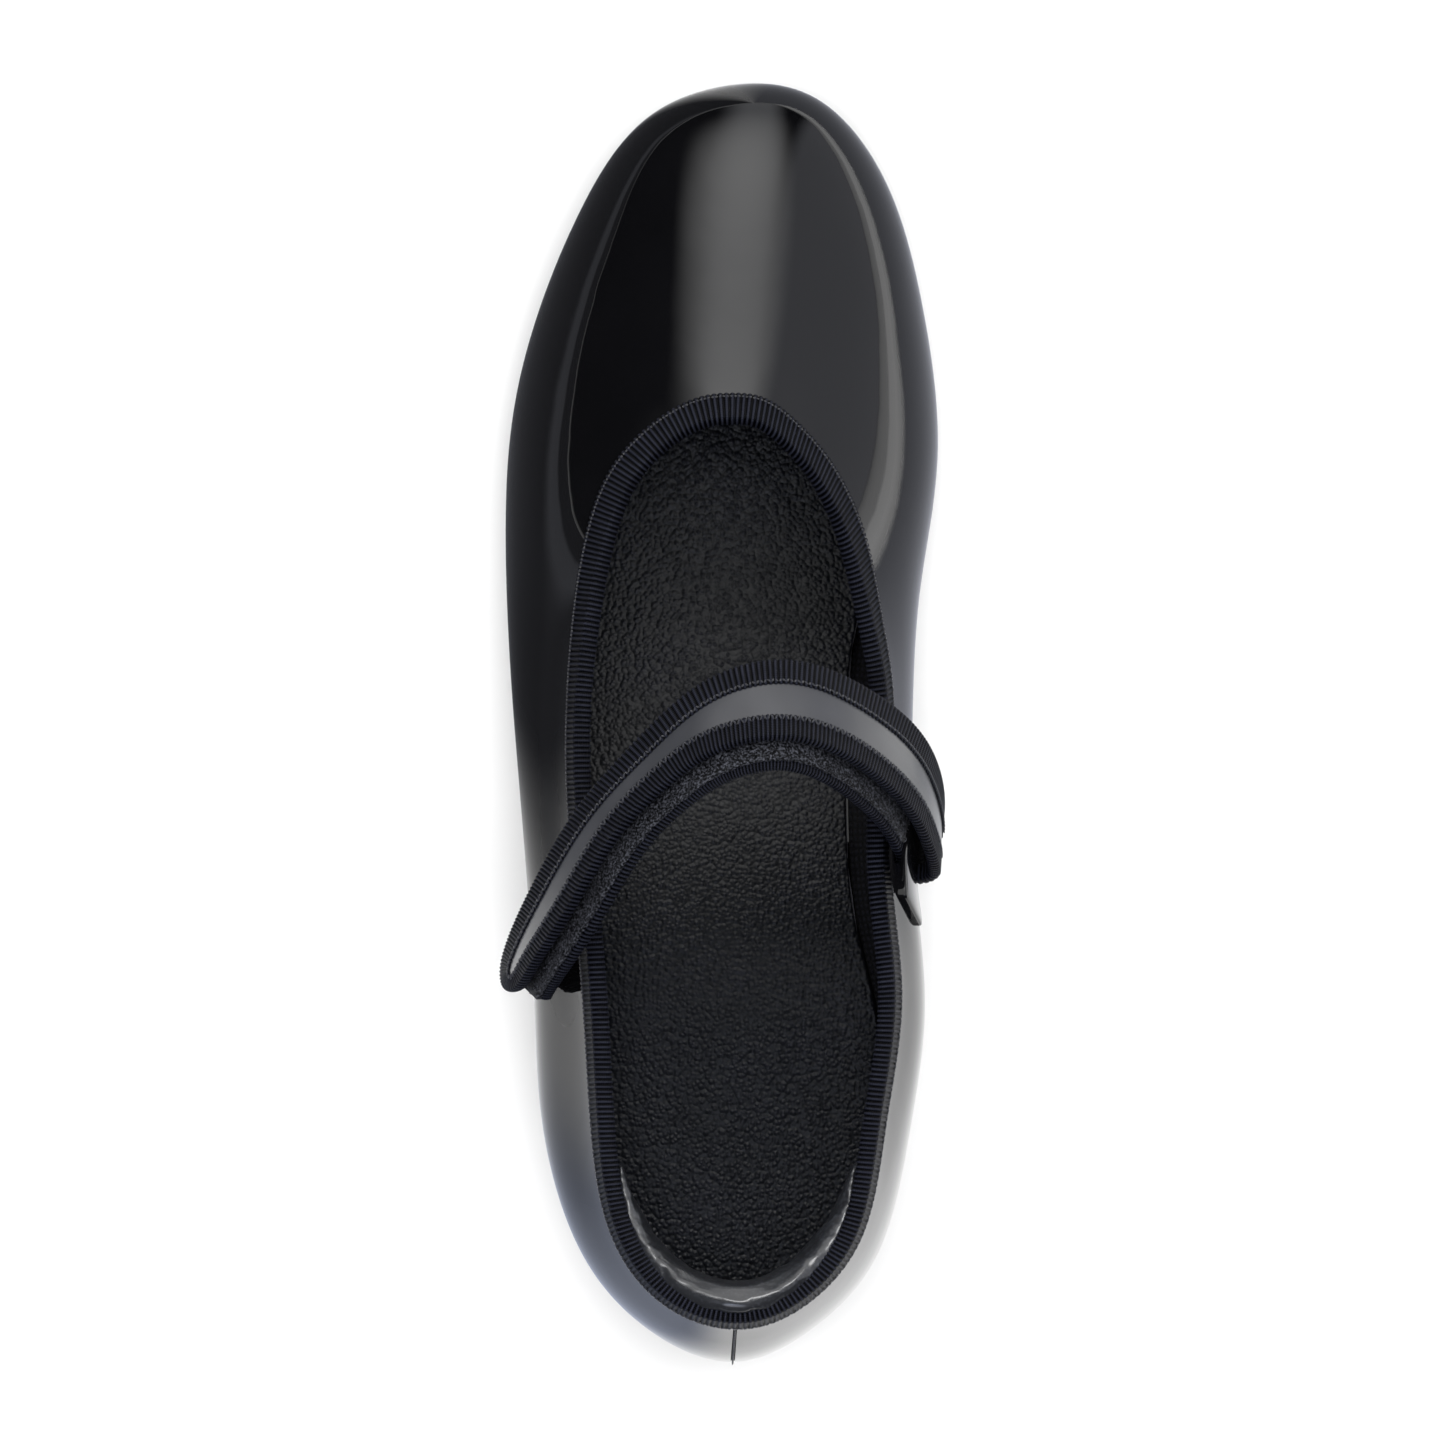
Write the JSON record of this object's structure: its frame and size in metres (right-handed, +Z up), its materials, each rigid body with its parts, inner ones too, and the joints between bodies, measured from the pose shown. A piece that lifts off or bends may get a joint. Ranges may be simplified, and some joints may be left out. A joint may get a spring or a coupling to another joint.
{
  "type": "tap shoe",
  "caption": "Left Mary Jane tap shoe: glossy one-piece upper, ribbed binding, hook-and-loop instep strap through a side loop, low block heel, metal toe and heel taps.",
  "frame": {"origin": "on the floor, under the middle of the shoe's bounding box", "axes": "+Y to the toe, +X to the inner (medial) side of the foot, +Z up"},
  "size_m": [0.0871, 0.2499, 0.0967],
  "materials": {
    "patent": "patent gloss coat on split leather",
    "grosgrain": "ribbed grosgrain tape, matt",
    "knit_lining": "brushed knit lining",
    "pad_cover": "soft coated synthetic over foam, semi-gloss",
    "sock_leather": "grained, satin",
    "loop_pile": "napped loop pile",
    "hook_tape": "moulded hooks on woven tape",
    "fibreboard": "pressed cellulose board",
    "foam": "open-cell foam",
    "thermoplastic": "moulded, satin black",
    "rubber": "matt",
    "sole_leather": "dyed and burnished edge",
    "tap_metal": "cast, satin",
    "screw_steel": "zinc plated"
  },
  "bodies": {
    "shoe": {"upper": "patent", "quarter_lining": "knit_lining", "toe_puff": "thermoplastic", "heel_counter": "thermoplastic", "topline_binding": "grosgrain", "collar_pad": "pad_cover", "outsole": "sole_leather", "insole_board": "fibreboard", "insole_foam": "foam", "sock_liner": "sock_leather", "bottom_filler": "foam", "shank": "screw_steel", "heel_block": "thermoplastic", "heel_top_piece": "rubber", "toe_tap": "tap_metal", "heel_tap": "tap_metal", "toe_tap_screw_1": "screw_steel", "toe_tap_screw_2": "screw_steel", "toe_tap_screw_3": "screw_steel", "heel_tap_screw_1": "screw_steel", "heel_tap_screw_2": "screw_steel", "heel_tap_screw_3": "screw_steel", "heel_nail_1": "screw_steel", "heel_nail_2": "screw_steel", "heel_nail_3": "screw_steel", "under_strap": "knit_lining", "loop_pile_tape": "loop_pile", "under_strap_binding": "grosgrain", "strap_loop": "patent"},
    "strap": {"strap_patent": "patent", "strap_lining": "knit_lining", "strap_front_binding": "grosgrain", "strap_rear_binding": "grosgrain"},
    "strap_end": {"strap_end_patent": "patent", "strap_end_lining": "knit_lining", "strap_end_binding": "grosgrain", "hook_pad": "hook_tape"}
  },
  "joints": [
    {"name": "strap_turn", "type": "hinge", "parent": "shoe", "child": "strap", "pos_m": [0.03906, -0.02486, 0.04609], "axis": [0.05, 0.8801, -0.4721], "range_deg": [0, 85]},
    {"name": "strap_end_peel", "type": "hinge", "parent": "strap", "child": "strap_end", "pos_m": [-0.03084, -0.02983, 0.07771], "axis": [-0.477, 0.366, -0.799], "range_deg": [0, 70]}
  ]
}
